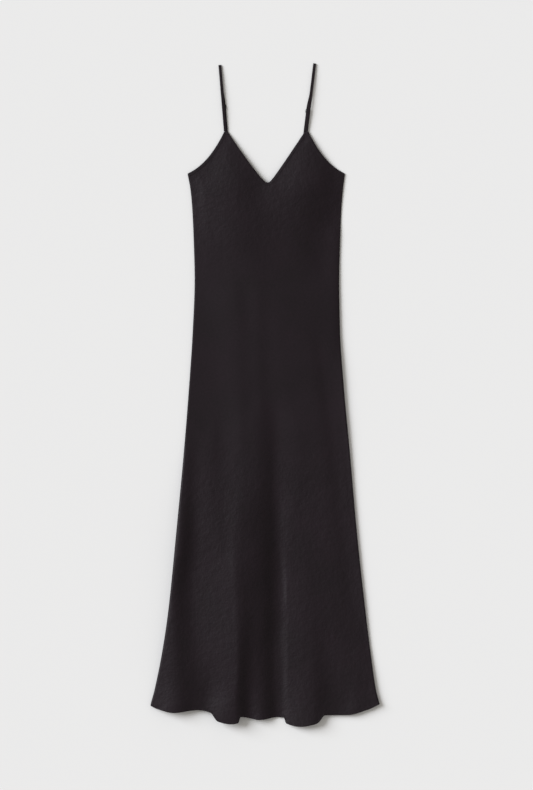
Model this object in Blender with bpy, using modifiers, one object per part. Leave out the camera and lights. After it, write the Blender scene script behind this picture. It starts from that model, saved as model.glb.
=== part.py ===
"""A long slip dress with a V neck and narrow adjustable straps, laid flat with its front up.

Metres, +Z up. The dress lies on the plane z = 0 with its straps towards +Y, so left is -X and
right is +X as seen from above. The origin is under the middle of the whole dress. The back panel
lies on the plane, and the front panel lies on the back panel, raised by its cups and folds.
"""

import math

import bpy
import numpy as np

COLLECTION = "slip_dress"

# Walls and gaps
CLOTH = 0.0015            # both panels
BINDING = 0.0010          # thickness of a binding
RIBBON = 0.0010           # thickness of a strap or tab
GAP = 0.0003              # between pieces that are sewn together
BINDING_WIDTH = 0.0060
FRONT_SEAM_Z = 2 * CLOTH + GAP     # upper face of the front panel where it meets the back

# Outline of both panels. Columns: y, distance of the left edge from x = 0, and of the right edge.
SECTIONS = {
    "underarm": (0.4944, 0.1734, 0.1781),
    "bust": (0.4576, 0.1667, 0.1734),
    "under bust": (0.4129, 0.1627, 0.1699),
    "ribs": (0.3460, 0.1596, 0.1674),
    "waist": (0.2567, 0.1574, 0.1652),
    "high hip": (0.1451, 0.1616, 0.1670),
    "hip": (0.0112, 0.1705, 0.1761),
    "thigh": (-0.1228, 0.1812, 0.1886),
    "knee": (-0.3013, 0.1980, 0.2042),
    "calf": (-0.4799, 0.2161, 0.2236),
    "flare": (-0.5692, 0.2292, 0.2346),
    "ankle": (-0.6584, 0.2471, 0.2482),
    "corner": (-0.6900, 0.2556, 0.2556),
}

# Lower edge of the front panel, from the left corner to the right. Columns: x, y.
HEM = {
    "left corner": (-0.2556, -0.6935),
    "left flare": (-0.2120, -0.7083),
    "left hollow": (-0.1560, -0.7017),
    "first fold, left foot": (-0.1230, -0.7080),
    "first fold, shoulder": (-0.1094, -0.7252),
    "first fold, crest": (-0.0759, -0.7341),
    "first fold, brink": (-0.0596, -0.7323),
    "first fold, right foot": (-0.0547, -0.7192),
    "middle fold": (-0.0112, -0.7249),
    "middle hollow": (0.0268, -0.7189),
    "last fold, left foot": (0.0435, -0.7205),
    "last fold, brink": (0.0513, -0.7357),
    "last fold, crest": (0.0781, -0.7400),
    "last fold, shoulder": (0.1094, -0.7350),
    "last fold, right foot": (0.1317, -0.7155),
    "right side": (0.1853, -0.7138),
    "right flare": (0.2299, -0.7020),
    "right corner": (0.2556, -0.6863),
}
HEM_LEVEL = -0.700        # the straight row that the hem's shape is added to
HEM_EASE = 0.150          # height over which that shape fades out

# Upper edge of the front panel
NECK_POINT = (0.0056, 0.4741)
NECK_ROUNDING = 0.08      # of the neck's half width, at the point of the V
NECK_BOW = {"left": 0.0130, "right": 0.0020}
APEX_Y = 0.5881
APEX_HALF = 0.0038
APEX_X = {"left": -0.0874, "right": 0.0922}
ARMHOLE_LINEAR = 0.45     # share of the armhole's rise that is a straight line
ARMHOLE_POWER = 2.4       # the rest rises with this power

# Back panel
BACK_SCOOP = 0.037        # from the underarm down to the middle of its top edge
BACK_HEM_SIDE = -0.688
BACK_HEM_DROP = 0.016     # from the side seams down to the middle of its hem

# Soft forms of the front panel
EDGE_WIDTH = 0.010        # over which it rises from a side seam
LOFT = 0.0035
BODICE_LOFT = 0.0010      # the bodice lies flatter
LOFT_LINE = 0.400         # where the loft starts to grow
LOFT_RUN = 0.250          # and over how much of the way down
LEVEL_END = 0.004         # past a fold's first and last station, where its height is level
WIDTHS_MEET = 0.0045      # across a fold's line, where its two half widths blend
# The cups and big folds. Each has stations from its upper end down. Columns: y, x of its line, half
# width to the left, half width to the right, height (a trough's is negative).
FOLDS = {
    "left cup": [
        (0.614, -0.0404, 0.010, 0.012, 0.0007), (0.547, -0.0739, 0.029, 0.085, 0.0038),
        (0.458, -0.0672, 0.065, 0.050, 0.0109), (0.368, -0.0643, 0.059, 0.065, 0.0088),
        (0.234, -0.0482, 0.060, 0.064, 0.0000),
    ],
    "right cup": [
        (0.614, 0.1286, 0.010, 0.035, 0.0017), (0.547, 0.1013, 0.029, 0.061, 0.0037),
        (0.458, 0.0815, 0.088, 0.093, 0.0116), (0.368, 0.0752, 0.134, 0.085, 0.0091),
        (0.234, 0.0692, 0.121, 0.098, 0.0000),
    ],
    "left roll": [
        (-0.078, -0.1674, 0.015, 0.010, 0.0000), (-0.190, -0.1853, 0.014, 0.023, 0.0071),
        (-0.324, -0.1920, 0.018, 0.023, 0.0136), (-0.458, -0.2071, 0.023, 0.029, 0.0140),
        (-0.569, -0.2067, 0.046, 0.036, 0.0116), (-0.681, -0.1962, 0.044, 0.042, 0.0135),
        (-0.752, -0.2165, 0.033, 0.041, 0.0110),
    ],
    "first fold": [
        (-0.100, -0.0344, 0.065, 0.045, 0.0000), (-0.324, -0.0783, 0.133, 0.042, 0.0148),
        (-0.458, -0.0699, 0.120, 0.042, 0.0164), (-0.569, -0.0674, 0.144, 0.030, 0.0154),
        (-0.681, -0.0683, 0.058, 0.026, 0.0185), (-0.752, -0.0670, 0.065, 0.030, 0.0135),
    ],
    "middle fold": [
        (0.022, -0.0190, 0.058, 0.010, 0.0000), (-0.100, -0.0105, 0.042, 0.038, 0.0089),
        (-0.190, -0.0049, 0.036, 0.040, 0.0148), (-0.324, -0.0094, 0.052, 0.041, 0.0214),
        (-0.458, -0.0038, 0.076, 0.040, 0.0113), (-0.569, -0.0239, 0.076, 0.031, 0.0093),
        (-0.681, -0.0143, 0.026, 0.029, 0.0061), (-0.752, -0.0089, 0.018, 0.027, 0.0080),
    ],
    "last fold": [
        (0.022, 0.0406, 0.010, 0.051, 0.0000), (-0.078, 0.0779, 0.030, 0.102, 0.0016),
        (-0.190, 0.0839, 0.040, 0.131, 0.0039), (-0.324, 0.0549, 0.048, 0.114, 0.0063),
        (-0.458, 0.0839, 0.031, 0.043, 0.0031), (-0.569, 0.1018, 0.036, 0.026, 0.0033),
        (-0.681, 0.1067, 0.040, 0.026, 0.0055), (-0.752, 0.1038, 0.041, 0.049, 0.0095),
    ],
    "right fold": [
        (-0.167, 0.1645, 0.062, 0.032, 0.0000), (-0.368, 0.1641, 0.076, 0.062, -0.0007),
        (-0.547, 0.2078, 0.079, 0.010, 0.0004), (-0.681, 0.2103, 0.028, 0.063, 0.0040),
        (-0.752, 0.2076, 0.045, 0.036, 0.0060),
    ],
    "right roll": [
        (0.145, 0.1594, 0.011, 0.016, 0.0000), (-0.056, 0.1870, 0.011, 0.022, 0.0010),
        (-0.324, 0.2243, 0.010, 0.024, 0.0035), (-0.547, 0.2540, 0.010, 0.018, 0.0030),
        (-0.681, 0.2652, 0.030, 0.021, 0.0035), (-0.752, 0.2556, 0.020, 0.016, 0.0030),
    ],
}

# Grid of the front panel. Columns: x in the bodice, x at the hem, faces up to the next line. The sides
# and rims keep to the panel's outline instead.
RIM = 0.0060
GRID_LINES = {
    "left side": (-0.1734, -0.2556, 1),
    "left rim": (-0.1674, -0.2496, 9),
    "left apex, outer": (APEX_X["left"] - APEX_HALF, -0.1200, 2),
    "left apex, inner": (APEX_X["left"] + APEX_HALF, -0.1060, 5),
    "first fold, brink": (-0.0560, -0.0610, 3),
    "first fold, foot": (-0.0400, -0.0480, 4),
    "neck point": (NECK_POINT[0], 0.0080, 3),
    "last fold, root": (0.0250, 0.0320, 2),
    "last fold, foot": (0.0330, 0.0410, 3),
    "last fold, brink": (0.0460, 0.0540, 5),
    "right apex, inner": (APEX_X["right"] - APEX_HALF, 0.1060, 2),
    "right apex, outer": (APEX_X["right"] + APEX_HALF, 0.1200, 9),
    "right rim": (0.1721, 0.2496, 1),
    "right side": (0.1781, 0.2556, 0),
}
BASE_LINE = 0.435         # below the neck point, where the straight rows end
KNEE_LINE = -0.350        # where the grid's columns have reached their place at the hem
SKIRT_ROWS = 28
CUP_ROWS = 7
BACK_COLUMNS = 14
BACK_ROWS = 14

# Straps. Columns: x and y of the top fold, x of the foot at the apex, y of the slider, and how far the
# back layers lie to the left there: the straps come closer together at the back.
STRAPS = {
    "left": (-0.1010, 0.7366, -0.0889, 0.6430, -0.0022),
    "right": (0.1104, 0.7400, 0.0920, 0.6335, 0.0030),
}
STRAP_WIDTH = 0.0065
BACK_STRAP_Z = 0.0006     # centre of the layer that lies on the plane
FOLD_RADIUS = 0.00078     # centre line of the fold at a strap's top
APEX_GAP = 0.0004
STRAP_ARC = 0.0022        # how far a front strap bows up between its ends
PEEK_RUN = 0.035          # above the slider, over which the back strap moves aside

# Slider and loop: flat frames with bars of one width
BAR = 0.0011
FRAME_WIDTH = 0.0092
FRAME_CORNER = 0.0015
FRAME_Z = 0.0020          # centre height
SLIDER_LENGTH = 0.0090
LOOP_LENGTH = 0.0060
LOOP_ABOVE_BACK = 0.0050  # from the back panel's top edge to the loop's centre
OVER_BAR_Z = 0.0034       # centre of a ribbon that passes over a bar
WEAVE_FOOT = 0.0030       # from the slider's middle bar, where the strap leaves the plane
WEAVE_TOP = 0.0009        # and where it is over the bar
NEAR_BAR = 0.0060         # from a bar, where a ribbon is back at its own height
RETURN_Z = 0.0020         # centre of the strap's returning layer along its run
TAB_OVER_BACK_Z = 0.0036
TAB_LAP = 0.0100          # how far the tab lies on the back panel
TAB_SHORT = 0.0024        # how far its lower layer stops short of the back panel's sloping edge


def ease(t):
    """0 up to 0, 1 from 1 on, and a smooth step between."""
    t = np.clip(t, 0.0, 1.0)
    return t * t * (3.0 - 2.0 * t)


def smooth_through(knots, values, at):
    """Monotone cubic curve through (knots, values), read at the given places; level past its ends."""
    step = np.diff(knots)
    slope = np.diff(values) / step
    before, after = slope[:-1], slope[1:]
    same_way = before * after > 0.0
    both = np.where(same_way, before + after, 1.0)
    inner = np.where(same_way, 2.0 * before * after / both, 0.0)
    tangent = np.concatenate([slope[:1], inner, slope[-1:]])
    at = np.clip(at, knots[0], knots[-1])
    i = np.clip(np.searchsorted(knots, at, side="right") - 1, 0, len(step) - 1)
    t = (at - knots[i]) / step[i]
    value = (1 + 2 * t) * (1 - t) ** 2 * values[i] + t * t * (3 - 2 * t) * values[i + 1]
    bend = t * (1 - t) ** 2 * tangent[i] - t * t * (1 - t) * tangent[i + 1]
    return value + step[i] * bend


def side_edges(y):
    """x of the left and right edge at height y."""
    table = np.array(list(SECTIONS.values()))[::-1]
    left = -smooth_through(table[:, 0], table[:, 1], y)
    right = smooth_through(table[:, 0], table[:, 2], y)
    return left, right


def hem_y(x):
    table = np.array(list(HEM.values()))
    return smooth_through(table[:, 0], table[:, 1], x)


def armhole_y(x, side):
    """The armhole rises from the underarm to the outer corner of the apex, slowly and then steeply."""
    underarm_y, left, right = SECTIONS["underarm"]
    if side == "left":
        start, end = -left, APEX_X["left"] - APEX_HALF
    else:
        start, end = right, APEX_X["right"] + APEX_HALF
    t = np.clip((x - start) / (end - start), 0.0, 1.0)
    rise = ARMHOLE_LINEAR * t + (1.0 - ARMHOLE_LINEAR) * t**ARMHOLE_POWER
    return underarm_y + (APEX_Y - underarm_y) * rise


def neck_y(x, side):
    """The neckline rises from the neck point along a hyperbola, less a little bow."""
    end = APEX_X["left"] + APEX_HALF if side == "left" else APEX_X["right"] - APEX_HALF
    t = np.clip((x - NECK_POINT[0]) / (end - NECK_POINT[0]), 0.0, 1.0)
    c = NECK_ROUNDING
    rise = (np.sqrt(t * t + c * c) - c) / (math.sqrt(1.0 + c * c) - c)
    bow = NECK_BOW[side] * t * (1.0 - t)
    return NECK_POINT[1] + (APEX_Y - NECK_POINT[1]) * rise - bow


def top_y(x):
    """Upper edge of the front panel: armholes outside the apexes, neckline between them."""
    left, right = APEX_X["left"], APEX_X["right"]
    y = np.where(x < NECK_POINT[0], neck_y(x, "left"), neck_y(x, "right"))
    y = np.where(x < left - APEX_HALF, armhole_y(x, "left"), y)
    return np.where(x > right + APEX_HALF, armhole_y(x, "right"), y)


def fold_height(stations, x, y):
    """A fold's height: along it the heights of its stations, smoothly joined and level at both ends;
    across it a bell, with its own half width on each side of the fold's line."""
    table = np.array(stations)[::-1]
    line, left, right = (smooth_through(table[:, 0], table[:, k], y) for k in (1, 2, 3))
    knots = np.concatenate([table[:1, 0] - LEVEL_END, table[:, 0], table[-1:, 0] + LEVEL_END])
    height = smooth_through(knots, np.concatenate([table[:1, 4], table[:, 4], table[-1:, 4]]), y)
    aside = x - line
    share = 0.5 - 0.5 * aside / np.sqrt(aside**2 + WIDTHS_MEET**2)
    return height * np.exp(-((aside / (right + (left - right) * share)) ** 2))


def front_z(x, y):
    """Height of the front panel's upper face: loft and folds, eased down to the side seams."""
    left, right = side_edges(y)
    soft = BODICE_LOFT + (LOFT - BODICE_LOFT) * ease((LOFT_LINE - y) / LOFT_RUN) + np.zeros_like(x)
    for stations in FOLDS.values():
        soft += fold_height(stations, x, y)
    return FRONT_SEAM_Z + soft * ease(np.minimum(x - left, right - x) / EDGE_WIDTH)


def front_normal(x, y):
    """Unit normal of the front panel's upper face, from its slopes over a millimetre each way."""
    step = 0.001
    slope_x = (front_z(x + step, y) - front_z(x - step, y)) / (2 * step)
    slope_y = (front_z(x, y + step) - front_z(x, y - step)) / (2 * step)
    normal = np.stack([-slope_x, -slope_y, np.ones_like(x)], axis=-1)
    return normal / np.linalg.norm(normal, axis=-1, keepdims=True)


def front_grid():
    """Points of the front panel's upper face, rows from the hem up and columns from left to right."""
    lines = list(GRID_LINES.values())
    last = len(lines) - 1

    def row_x(toward_hem, left, right):
        ends = [line[0] + (line[1] - line[0]) * toward_hem for line in lines]
        ends[:2] = left, left + RIM
        ends[-2:] = right - RIM, right
        runs = [np.linspace(ends[i], ends[i + 1], lines[i][2], endpoint=False) for i in range(last)]
        return np.concatenate(runs + [[right]])

    corner_y = np.array([HEM["left corner"][1], HEM["right corner"][1]])
    hem_x = row_x(1.0, lines[0][1], lines[last][1])
    shape = hem_y(hem_x) - HEM_LEVEL
    rows = []
    for level in np.linspace(HEM_LEVEL, BASE_LINE, SKIRT_ROWS + 1):
        fade = ease(1.0 - (level - HEM_LEVEL) / HEM_EASE)
        side_y = level + (corner_y - HEM_LEVEL) * fade
        toward_hem = ease((BASE_LINE - level) / (BASE_LINE - KNEE_LINE))
        x = row_x(toward_hem, side_edges(side_y[0])[0], side_edges(side_y[1])[1])
        rows.append((x, level + shape * fade))
    top_x = row_x(0.0, lines[0][0], lines[last][0])
    slope = np.gradient(top_y(top_x), top_x)
    edge = top_y(top_x)
    inset = BINDING_WIDTH * np.hypot(1.0, np.clip(slope, -1.6, 1.6))
    for up in list(np.linspace(0.0, 1.0, CUP_ROWS + 1)[1:]) + ["edge"]:
        y = edge if up == "edge" else BASE_LINE + (edge - inset - BASE_LINE) * up
        rows.append((row_x(0.0, side_edges(y[0])[0], side_edges(y[last])[1]), y))
    x = np.array([row[0] for row in rows])
    y = np.array([row[1] for row in rows])
    return np.stack([x, y, front_z(x, y)], axis=-1)


def back_grid():
    """Points of the back panel's upper face, flat, with a scooped top edge and a curved hem."""
    rows = []
    across = np.linspace(-1.0, 1.0, BACK_COLUMNS + 1)
    hem = BACK_HEM_SIDE - BACK_HEM_DROP * (1.0 - across**2)
    edge = SECTIONS["underarm"][0] - BACK_SCOOP * (1.0 - across**2)
    for up in list(np.linspace(0.0, 1.0, BACK_ROWS + 1)) + ["edge"]:
        y = edge if up == "edge" else hem + (edge - BINDING_WIDTH - hem) * up
        left, right = side_edges(y)
        rows.append((left + (right - left) * (across + 1.0) / 2.0, y))
    x = np.array([row[0] for row in rows])
    y = np.array([row[1] for row in rows])
    return np.stack([x, y, np.full_like(x, CLOTH)], axis=-1)


def add_to_collection(obj, material):
    for other in list(obj.users_collection):
        other.objects.unlink(obj)
    bpy.data.collections[COLLECTION].objects.link(obj)
    obj.data.materials.clear()
    obj.data.materials.append(material)
    return obj


def sheet(name, grid, thickness, material, offset=-1.0):
    """A wall on a grid of points. Offset -1 lays it under the points, 0 half on each side."""
    rows, columns = grid.shape[:2]
    index = np.arange(rows * columns).reshape(rows, columns)
    faces = np.stack([index[:-1, :-1], index[:-1, 1:], index[1:, 1:], index[1:, :-1]], axis=-1)
    mesh = bpy.data.meshes.new(name)
    mesh.from_pydata(grid.reshape(-1, 3).tolist(), [], faces.reshape(-1, 4).tolist())
    mesh.shade_smooth()
    wall = bpy.data.objects.new(name, mesh)
    solidify = wall.modifiers.new("Wall", "SOLIDIFY")
    solidify.thickness = thickness
    solidify.offset = offset
    bpy.context.scene.collection.objects.link(wall)
    return add_to_collection(wall, material)


def binding(name, edge_rows, normals, material):
    """A strip over a panel's top two rows of points, moved out along their normals."""
    return sheet(name, edge_rows + normals * (GAP + BINDING), BINDING, material)


def ribbon(name, path, across, width, material):
    """A flat band whose centre line is the path, with its width along one direction."""
    half = np.array([*across, 0.0]) * width / 2.0
    return sheet(name, np.stack([path - half, path + half], axis=1), RIBBON, material, offset=0.0)


def rounded_rectangle(half_width, low, high, corner):
    """Corner points of a rectangle from low to high, with each corner an arc of four steps."""
    centres = [
        (half_width - corner, low + corner, -90.0),
        (half_width - corner, high - corner, 0.0),
        (corner - half_width, high - corner, 90.0),
        (corner - half_width, low + corner, 180.0),
    ]
    points = []
    for x, y, start in centres:
        for step in range(4):
            angle = math.radians(start + 30.0 * step)
            points.append((x + corner * math.cos(angle), y + corner * math.sin(angle)))
    return points


def bar_frame(name, length, windows, centre, along, material):
    """A flat frame, turned so that its length lies along the strap, with one or two windows."""
    outline = bpy.data.curves.new(name, "CURVE")
    outline.dimensions = "2D"
    outline.fill_mode = "BOTH"
    outline.extrude = BAR / 2.0
    inner = FRAME_WIDTH / 2.0 - BAR
    opening = (length - (windows + 1) * BAR) / windows
    shapes = [rounded_rectangle(FRAME_WIDTH / 2.0, -length / 2.0, length / 2.0, FRAME_CORNER)]
    for window in range(windows):
        low = -length / 2.0 + BAR + window * (opening + BAR)
        shapes.append(rounded_rectangle(inner, low, low + opening, FRAME_CORNER / 3.0))
    for shape in shapes:
        spline = outline.splines.new("POLY")
        spline.points.add(len(shape) - 1)
        spline.points.foreach_set("co", [value for x, y in shape for value in (x, y, 0.0, 1.0)])
        spline.use_cyclic_u = True
    frame = bpy.data.objects.new(name, outline)
    frame.location = (centre[0], centre[1], FRAME_Z)
    frame.rotation_euler.z = math.atan2(along[1], along[0]) + math.pi / 2.0
    bpy.context.scene.collection.objects.link(frame)
    return add_to_collection(frame, material)


def half_turn(at, z, radius, outward, steps=6):
    """Points of a half circle in a strap's lengthwise plane: (distance, z), from above to below."""
    angles = np.linspace(math.pi / 2.0, -math.pi / 2.0, steps + 1)
    return [(at + outward * radius * math.cos(a), z + radius * math.sin(a)) for a in angles]


class Strap:
    """One strap: its line in plan, and the places along it, measured down from the top fold."""

    def __init__(self, side):
        self.side = side
        top_x, top_y_value, foot_x, slider_y, self.peek = STRAPS[side]
        self.top = np.array([top_x, top_y_value - FOLD_RADIUS - RIBBON / 2.0])
        foot = np.array([foot_x, APEX_Y + APEX_GAP])
        self.front_length = float(np.linalg.norm(foot - self.top))
        self.down = (foot - self.top) / self.front_length
        self.across = np.array([-self.down[1], self.down[0]])
        self.apex_z = float(front_z(np.array([APEX_X[side]]), np.array([APEX_Y]))[0]) - CLOTH / 2.0
        self.slider = (slider_y - self.top[1]) / self.down[1]
        back_edge = self.back_edge()
        self.loop = (back_edge + LOOP_ABOVE_BACK - self.top[1]) / self.down[1]
        self.edge = (back_edge - self.top[1]) / self.down[1]

    def back_edge(self):
        """y of the back panel's top edge where the strap's line, moved aside, crosses it."""
        underarm_y, left, right = SECTIONS["underarm"]
        y = underarm_y - BACK_SCOOP
        for _ in range(4):
            x = self.plan((y - self.top[1]) / self.down[1], self.peek)[0]
            share = (2.0 * x + left - right) / (left + right)
            y = underarm_y - BACK_SCOOP * (1.0 - share**2)
        return y

    def plan(self, distance, aside=0.0):
        """x and y at a distance down from the top fold, moved aside to the left."""
        return self.top + self.down * distance + np.array([-aside, 0.0])

    def path(self):
        """Centre line: up the front, round the top fold, down the back, round the loop and back up."""
        steps = np.linspace(self.front_length, 0.0, 15)
        fold_z = BACK_STRAP_Z + FOLD_RADIUS
        low = BACK_STRAP_Z + 2.0 * FOLD_RADIUS
        share = steps[:-1] / self.front_length
        climb = low + (self.apex_z - low) * share + 4.0 * STRAP_ARC * share * (1.0 - share)
        side_view = list(zip(steps[:-1], climb))
        side_view += half_turn(0.0, fold_z, FOLD_RADIUS, -1.0)
        side_view += [(d, BACK_STRAP_Z) for d in np.linspace(0.02, self.slider - NEAR_BAR, 5)]
        side_view += [(self.slider - WEAVE_FOOT, BACK_STRAP_Z), (self.slider - WEAVE_TOP, OVER_BAR_Z)]
        side_view += [(self.slider + WEAVE_TOP, OVER_BAR_Z), (self.slider + WEAVE_FOOT, BACK_STRAP_Z)]
        upper_bar = self.loop - LOOP_LENGTH / 2.0 + BAR / 2.0
        doubled = np.linspace(self.slider + NEAR_BAR, upper_bar - NEAR_BAR, 7)
        side_view += [(d, BACK_STRAP_Z) for d in doubled]
        turn = half_turn(upper_bar, FRAME_Z, OVER_BAR_Z - FRAME_Z, 1.0)
        side_view += turn[::-1]
        slider_bar = self.slider + SLIDER_LENGTH / 2.0 - BAR / 2.0
        side_view += [(d, RETURN_Z) for d in np.linspace(upper_bar - NEAR_BAR, slider_bar + NEAR_BAR, 7)]
        side_view += [(slider_bar + BAR, OVER_BAR_Z), (slider_bar - BAR / 2.0, OVER_BAR_Z)]
        points = []
        for order, (distance, z) in enumerate(side_view):
            on_back = order >= len(steps) - 1
            peek = self.peek * float(ease((distance - self.slider) / PEEK_RUN + 1.2)) if on_back else 0.0
            points.append((*self.plan(distance, peek), z))
        return np.array(points)

    def tab_path(self):
        """Centre line of the tab: on the plane up to the loop, round its lower bar, over the back."""
        lower_bar = self.loop + LOOP_LENGTH / 2.0 - BAR / 2.0
        radius = (TAB_OVER_BACK_Z - BACK_STRAP_Z) / 2.0
        side_view = [(self.edge - TAB_SHORT, BACK_STRAP_Z)]
        side_view += half_turn(lower_bar, BACK_STRAP_Z + radius, radius, -1.0)[::-1]
        side_view += [(self.edge + TAB_LAP * share, TAB_OVER_BACK_Z) for share in (0.0, 0.5, 1.0)]
        return np.array([(*self.plan(distance, self.peek), z) for distance, z in side_view])


def finish(name, colour, roughness, metallic=0.0):
    material = bpy.data.materials.new(name)
    material.use_nodes = True
    shader = material.node_tree.nodes["Principled BSDF"]
    shader.inputs["Base Color"].default_value = (*colour, 1.0)
    shader.inputs["Roughness"].default_value = roughness
    shader.inputs["Metallic"].default_value = metallic
    return material


def build_panels(cloth, trim):
    """Both panels, and the bindings that are made from their top two rows of points."""
    front = front_grid()
    sheet("front_panel", front, CLOTH, cloth)
    counts = np.cumsum([line[2] for line in GRID_LINES.values()])
    names = list(GRID_LINES)
    left_outer = counts[names.index("left apex, outer") - 1]
    left_inner = counts[names.index("left apex, inner") - 1]
    right_inner = counts[names.index("right apex, inner") - 1]
    right_outer = counts[names.index("right apex, outer") - 1]
    runs = {
        "armhole_binding_left": slice(0, left_outer + 1),
        "neck_binding": slice(left_inner, right_inner + 1),
        "armhole_binding_right": slice(right_outer, None),
    }
    for name, columns in runs.items():
        edge_rows = front[-2:, columns]
        binding(name, edge_rows, front_normal(edge_rows[..., 0], edge_rows[..., 1]), trim)
    back = back_grid()
    sheet("back_panel", back, CLOTH, cloth)
    edge_rows = back[-2:, 1:-1]
    binding("back_binding", edge_rows, np.array([0.0, 0.0, 1.0]), trim)


def build_strap(side, trim, enamel):
    """One strap with its slider, the loop it turns round, and the tab that holds the loop."""
    strap = Strap(side)
    ribbon(f"strap_{side}", strap.path(), strap.across, STRAP_WIDTH, trim)
    ribbon(f"loop_tab_{side}", strap.tab_path(), strap.across, STRAP_WIDTH, trim)
    at_slider = strap.plan(strap.slider, strap.peek)
    bar_frame(f"slider_{side}", SLIDER_LENGTH, 2, at_slider, strap.down, enamel)
    at_loop = strap.plan(strap.loop, strap.peek)
    bar_frame(f"loop_{side}", LOOP_LENGTH, 1, at_loop, strap.down, enamel)


def main():
    for obj in list(bpy.data.objects):
        bpy.data.objects.remove(obj)
    dress = bpy.data.collections.new(COLLECTION)
    bpy.context.scene.collection.children.link(dress)
    cloth = finish("black crepe", (0.018, 0.015, 0.016), 0.75)
    trim = finish("black crepe trim", (0.016, 0.013, 0.014), 0.70)
    enamel = finish("black enamel", (0.010, 0.010, 0.011), 0.35)
    build_panels(cloth, trim)
    for side in STRAPS:
        build_strap(side, trim, enamel)


main()
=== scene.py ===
"""Looks of the slip dress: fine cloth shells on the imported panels, rolled bindings and hems,
stitches, narrow straps with their sliders and loops, black crepe, a pale floor and soft light.

Metres, +Z up, straps towards +Y, left is -X. Every surface is worked out as whole numpy arrays.
"""

import math

import bmesh
import bpy
import numpy as np
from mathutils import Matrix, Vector


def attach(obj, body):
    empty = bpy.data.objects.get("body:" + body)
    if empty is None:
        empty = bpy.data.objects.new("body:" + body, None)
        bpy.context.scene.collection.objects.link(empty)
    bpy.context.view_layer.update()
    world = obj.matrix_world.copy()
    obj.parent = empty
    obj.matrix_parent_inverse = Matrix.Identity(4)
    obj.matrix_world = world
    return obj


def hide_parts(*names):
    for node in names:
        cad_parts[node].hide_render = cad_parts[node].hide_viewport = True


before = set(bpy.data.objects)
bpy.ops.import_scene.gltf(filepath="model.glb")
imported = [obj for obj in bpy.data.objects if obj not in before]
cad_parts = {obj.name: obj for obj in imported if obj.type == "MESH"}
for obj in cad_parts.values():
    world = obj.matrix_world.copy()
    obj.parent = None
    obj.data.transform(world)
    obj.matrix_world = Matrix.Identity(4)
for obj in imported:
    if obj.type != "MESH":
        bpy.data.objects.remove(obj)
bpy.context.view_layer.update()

# Walls and gaps of the real cloth
CLOTH = 0.0007
SEAM_Z = 0.0024            # upper face of the front panel along its side seams
BINDING_WIDTH = 0.0060
EDGE_DROP = 0.0003         # how far the cloth turns down under a binding
BINDING_LIFT = 0.00015     # how far a binding's face stands above the panel
BINDING_ROLL = 0.0007      # how far it reaches past the panel's edge, out to the outline
SIDE_ROLL = 0.0008         # the same for the turn of the cloth along a side seam
HEM_ROLL = 0.0004          # and for the rolled hem
HEM_LIFT = 0.0003          # how far the rolled hem's face stands above the panel
BORDER_SHARE = 0.80        # of a binding's width: its stitches run here, and its underside turns in
BORDER_TUCK = 0.0001       # how far its last points lie under the panel's face
STITCH_LIFT = 0.00005      # how far stitches stand above the cloth they are in

# Outline of both panels. Columns: y, distance of the left edge from x = 0, and of the right edge.
SECTIONS = {
    "underarm": (0.4944, 0.1734, 0.1781),
    "bust": (0.4576, 0.1667, 0.1734),
    "under bust": (0.4129, 0.1627, 0.1699),
    "ribs": (0.3460, 0.1596, 0.1674),
    "waist": (0.2567, 0.1574, 0.1652),
    "high hip": (0.1451, 0.1616, 0.1670),
    "hip": (0.0112, 0.1705, 0.1761),
    "thigh": (-0.1228, 0.1812, 0.1886),
    "knee": (-0.3013, 0.1980, 0.2042),
    "calf": (-0.4799, 0.2161, 0.2236),
    "flare": (-0.5692, 0.2292, 0.2346),
    "ankle": (-0.6584, 0.2471, 0.2474),
    "corner": (-0.6900, 0.2556, 0.2556),
}

# Lower edge of the front panel, from the left corner to the right. Columns: x, y.
HEM = {
    "left corner": (-0.2556, -0.6942),
    "left side": (-0.2390, -0.7013),
    "left flare": (-0.2050, -0.7090),
    "left hollow": (-0.1500, -0.7029),
    "first fold, left foot": (-0.1230, -0.7080),
    "first fold, shoulder": (-0.1055, -0.7282),
    "first fold, crest": (-0.0759, -0.7341),
    "first fold, brink": (-0.0605, -0.7316),
    "first fold, right foot": (-0.0547, -0.7178),
    "middle fold": (-0.0112, -0.7249),
    "middle hollow": (0.0268, -0.7189),
    "last fold, left foot": (0.0410, -0.7195),
    "last fold, brink": (0.0475, -0.7332),
    "last fold, crest": (0.0781, -0.7400),
    "last fold, shoulder": (0.1094, -0.7350),
    "last fold, flank": (0.1183, -0.7308),
    "last fold, right foot": (0.1335, -0.7146),
    "right side": (0.1853, -0.7138),
    "right flare": (0.2299, -0.7020),
    "right corner": (0.2560, -0.6899),
}
HEM_LEVEL = -0.700
HEM_EASE = 0.150

# Upper edge of the front panel
NECK_POINT = (0.0056, 0.4741)
NECK_ROUNDING = 0.08
NECK_BOW = {"left": 0.0130, "right": 0.0020}
APEX_Y = 0.5881
APEX_HALF = 0.0038
APEX_X = {"left": -0.0874, "right": 0.0922}
ARMHOLE_LINEAR = 0.45
ARMHOLE_POWER = 2.4
STEEPEST = 1.6             # slope of the upper edge past which a binding is measured no wider in y

# Back panel
BACK_SCOOP = 0.037
BACK_HEM_SIDE = -0.688
BACK_HEM_DROP = 0.016
BACK_WAVE = 0.0035         # how far its hem lifts under each big fold
BACK_WAVE_X = 0.080        # distance of each lift from x = 0, and its half width
BACK_WAVE_HALF = 0.030
BACK_WAVE_LINE = -0.40     # where the lifts start, and over how much of the way down they grow
BACK_WAVE_RUN = 0.30

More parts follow.
